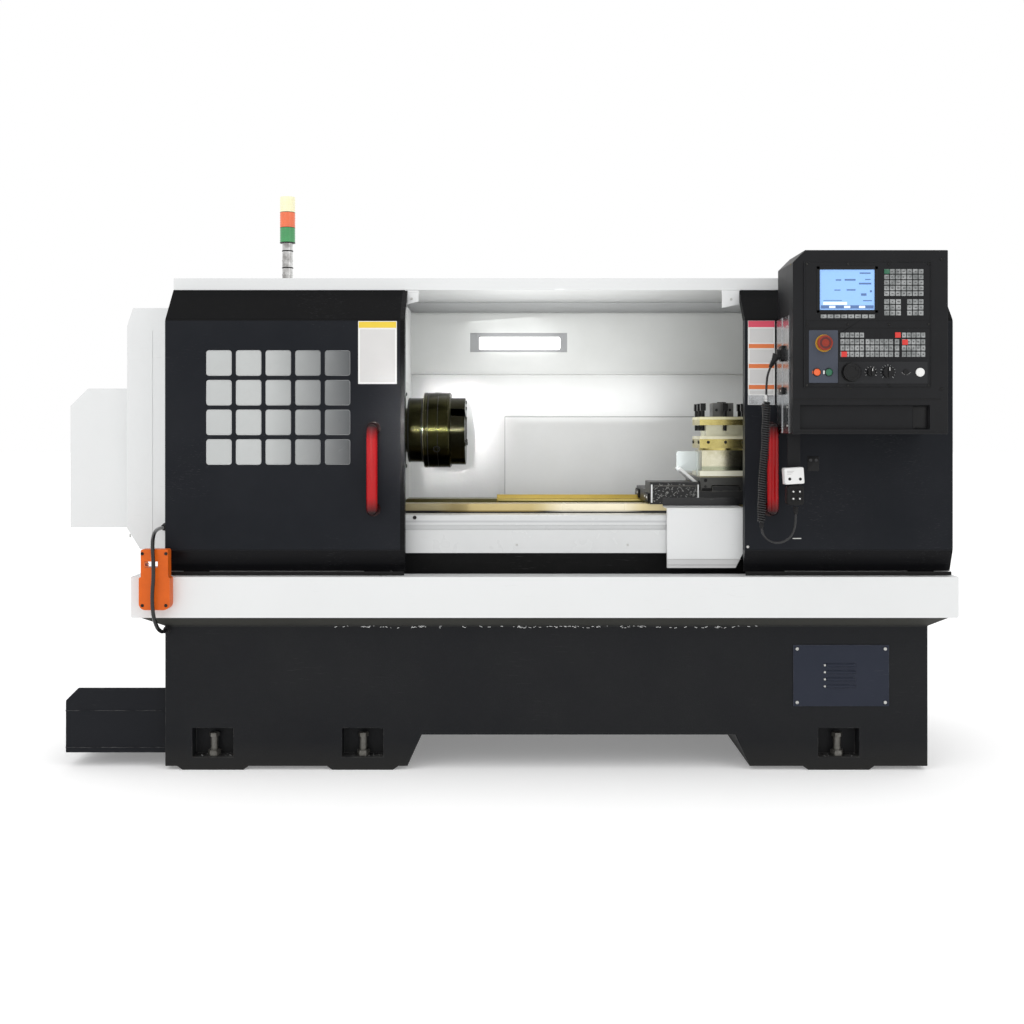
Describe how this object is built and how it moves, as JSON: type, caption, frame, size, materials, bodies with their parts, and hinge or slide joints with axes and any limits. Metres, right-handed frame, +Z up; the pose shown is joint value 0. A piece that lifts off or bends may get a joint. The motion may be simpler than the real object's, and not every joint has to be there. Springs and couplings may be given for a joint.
{
  "type": "cnc turning lathe",
  "caption": "Flat-bed turning lathe inside a sliding-door guard, with a chuck, square tool turret, hung control console, pendant, coolant tank and signal lamp.",
  "frame": {"origin": "on the floor, under the middle of the whole machine", "axes": "+X points along the spindle line to the tailstock end, +Y points to the rear, +Z points up"},
  "size_m": [2.82, 1.44, 1.823],
  "materials": {
    "base_paint": "satin charcoal enamel over cast iron, scuffed at the feet",
    "zinc_steel": "zinc plated screws",
    "plate_paint": "blue-grey stove enamel",
    "tray_paint": "white powder coat with a fine orange peel",
    "bed_iron": "dark textured casting with ground and oiled ways",
    "screw_steel": "ground steel, thinly oiled",
    "cover_paint": "white powder coat",
    "head_iron": "white painted casting",
    "bearing_steel": "ground bearing steel",
    "spindle_steel": "oiled ground steel",
    "pulley_aluminium": "turned aluminium",
    "motor_paint": "grey motor enamel",
    "chuck_steel": "blackened and oiled steel with turned rings",
    "jaw_steel": "soft steel jaws, oiled and turned",
    "guard_paint": "white powder coat with a fine orange peel",
    "inner_paint": "white powder coat, coolant hazed",
    "door_paint": "charcoal textured powder coat",
    "window_glass": "clear laminated pane, lightly hazed",
    "handle_red": "glossy red moulded tube with dark ends",
    "beam_paint": "mid grey powder coat",
    "lamp_diffuser": "opal diffuser",
    "cabinet_paint": "white powder coat",
    "pole_chrome": "polished tube",
    "beacon_plastic": "tinted lens tiers",
    "console_paint": "charcoal textured powder coat",
    "screen_blue": "lit pale blue display behind a clear cover",
    "profile_aluminium": "brushed and anodised extrusion",
    "arm_paint": "charcoal powder coat",
    "stop_red": "glossy red mushroom",
    "button_orange": "glossy orange",
    "button_green": "glossy green",
    "knob_black": "fine matt black moulding",
    "pendant_plastic": "white plate over a black moulding",
    "gland_plastic": "black nylon",
    "cord_rubber": "black polyurethane sheath",
    "cable_rubber": "black sheath",
    "hook_orange": "orange moulding",
    "tank_paint": "charcoal enamel",
    "saddle_iron": "black painted casting with rubber wipers",
    "apron_paint": "white powder coat",
    "slide_iron": "ground iron with an oil film",
    "post_steel": "polished tool post steel",
    "turret_steel": "ground steel with oil stain",
    "screw_black": "blackened screws",
    "tail_iron": "white painted casting",
    "quill_steel": "hard ground quill"
  },
  "bodies": {
    "machine": {"base_casting": "base_paint", "levelling_bolts": "zinc_steel", "access_plate": "plate_paint", "drip_tray": "tray_paint", "bed_casting": "bed_iron", "screw_cover": "cover_paint", "headstock_casting": "head_iron", "spindle_bearings": "bearing_steel", "main_motor": "motor_paint", "belt_guard": "guard_paint", "end_cover": "guard_paint", "left_fixed_guard": "inner_paint", "right_fixed_guard": "guard_paint", "roof_cover": "guard_paint", "rear_panel": "inner_paint", "light_beam": "beam_paint", "work_lamp": "lamp_diffuser", "electrical_cabinet": "cabinet_paint", "beacon_pole": "pole_chrome", "beacon_lenses": "beacon_plastic", "control_box": "console_paint", "display_screen": "screen_blue", "side_profile": "profile_aluminium", "console_arm": "arm_paint", "pendant_body": "pendant_plastic", "cord_gland": "gland_plastic", "pendant_lead": "cord_rubber", "pendant_curl": "cord_rubber", "pendant_tail": "cord_rubber", "cable_hook": "hook_orange", "guard_cable": "cable_rubber", "coolant_tank": "tank_paint"},
    "left_door": {"left_door": "door_paint", "left_window": "window_glass", "left_handle": "handle_red"},
    "right_door": {"right_door": "door_paint", "right_handle": "handle_red"},
    "spindle": {"spindle": "spindle_steel", "spindle_pulley": "pulley_aluminium", "chuck_body": "chuck_steel"},
    "jaw_1": {"chuck_jaw_1": "jaw_steel"},
    "jaw_2": {"chuck_jaw_2": "jaw_steel"},
    "jaw_3": {"chuck_jaw_3": "jaw_steel"},
    "motor_rotor": {"motor_pulley": "pulley_aluminium"},
    "feed_screw": {"z_ball_screw": "screw_steel"},
    "carriage": {"saddle": "saddle_iron", "apron_cover": "apron_paint"},
    "cross_slide": {"cross_slide": "slide_iron", "tool_post_base": "post_steel"},
    "turret": {"turret": "turret_steel", "clamp_screws": "screw_black"},
    "tailstock": {"tailstock_body": "tail_iron"},
    "quill": {"tailstock_quill": "quill_steel"},
    "cabinet_door": {"cabinet_door": "cabinet_paint"},
    "emergency_stop": {"emergency_stop": "stop_red"},
    "feed_stop_button": {"feed_stop_button": "button_orange"},
    "feed_start_button": {"feed_start_button": "button_green"},
    "jog_wheel": {"jog_wheel": "knob_black"},
    "feed_knob": {"feed_knob": "knob_black"},
    "speed_knob": {"speed_knob": "knob_black"}
  },
  "joints": [
    {"name": "left_door_slide", "type": "slide", "parent": "machine", "child": "left_door", "axis": [1, 0, 0], "range_m": [0, 0.525]},
    {"name": "right_door_slide", "type": "slide", "parent": "machine", "child": "right_door", "axis": [-1, 0, 0], "range_m": [0, 0.525]},
    {"name": "spindle_spin", "type": "hinge", "parent": "machine", "child": "spindle", "pos_m": [-0.17, -0.07, 1.062], "axis": [1, 0, 0], "continuous": true},
    {"name": "jaw_1_slide", "type": "slide", "parent": "spindle", "child": "jaw_1", "axis": [0, 0, 1], "range_m": [-0.015, 0.015]},
    {"name": "jaw_2_slide", "type": "slide", "parent": "spindle", "child": "jaw_2", "axis": [0, -0.866, -0.5], "range_m": [-0.015, 0.015]},
    {"name": "jaw_3_slide", "type": "slide", "parent": "spindle", "child": "jaw_3", "axis": [0, 0.866, -0.5], "range_m": [-0.015, 0.015]},
    {"name": "motor_spin", "type": "hinge", "parent": "machine", "child": "motor_rotor", "pos_m": [-1.093, 0.24, 0.83], "axis": [1, 0, 0], "continuous": true},
    {"name": "carriage_slide", "type": "slide", "parent": "machine", "child": "carriage", "axis": [1, 0, 0], "range_m": [-0.6, 0.02]},
    {"name": "feed_screw_spin", "type": "hinge", "parent": "machine", "child": "feed_screw", "pos_m": [0.34, -0.336, 0.728], "axis": [1, 0, 0], "continuous": true},
    {"name": "cross_slide_feed", "type": "slide", "parent": "carriage", "child": "cross_slide", "axis": [0, 1, 0], "range_m": [-0.03, 0.15]},
    {"name": "turret_index", "type": "hinge", "parent": "cross_slide", "child": "turret", "pos_m": [0.728, -0.2, 1], "axis": [0, 0, 1], "continuous": true},
    {"name": "tailstock_slide", "type": "slide", "parent": "machine", "child": "tailstock", "axis": [1, 0, 0], "range_m": [-0.05, 0.03]},
    {"name": "quill_slide", "type": "slide", "parent": "tailstock", "child": "quill", "axis": [-1, 0, 0], "range_m": [0, 0.06]},
    {"name": "cabinet_door_hinge", "type": "hinge", "parent": "machine", "child": "cabinet_door", "pos_m": [1.106, 0.708, 1.03], "axis": [0, 0, -1], "range_deg": [0, 110]},
    {"name": "emergency_stop_push", "type": "slide", "parent": "machine", "child": "emergency_stop", "axis": [0, 1, 0], "range_m": [0, 0.004], "stiffness_N_per_m": 1500, "springref_m": -0.002},
    {"name": "feed_stop_push", "type": "slide", "parent": "machine", "child": "feed_stop_button", "axis": [0, 1, 0], "range_m": [0, 0.003], "stiffness_N_per_m": 600, "springref_m": -0.002},
    {"name": "feed_start_push", "type": "slide", "parent": "machine", "child": "feed_start_button", "axis": [0, 1, 0], "range_m": [0, 0.003], "stiffness_N_per_m": 600, "springref_m": -0.002},
    {"name": "jog_wheel_spin", "type": "hinge", "parent": "machine", "child": "jog_wheel", "pos_m": [1.026, -0.71, 1.231], "axis": [0, 1, 0], "continuous": true},
    {"name": "feed_knob_turn", "type": "hinge", "parent": "machine", "child": "feed_knob", "pos_m": [1.084, -0.71, 1.231], "axis": [0, 1, 0], "range_deg": [-135, 135]},
    {"name": "speed_knob_turn", "type": "hinge", "parent": "machine", "child": "speed_knob", "pos_m": [1.134, -0.71, 1.231], "axis": [0, 1, 0], "range_deg": [-135, 135]}
  ],
  "couplings": [
    {"joint": "motor_spin", "follows": "spindle_spin", "ratio": 1.6923},
    {"joint": "jaw_2_slide", "follows": "jaw_1_slide", "ratio": 1},
    {"joint": "jaw_3_slide", "follows": "jaw_1_slide", "ratio": 1},
    {"joint": "feed_screw_spin", "follows": "carriage_slide", "rad_per_m": 628.32}
  ]
}
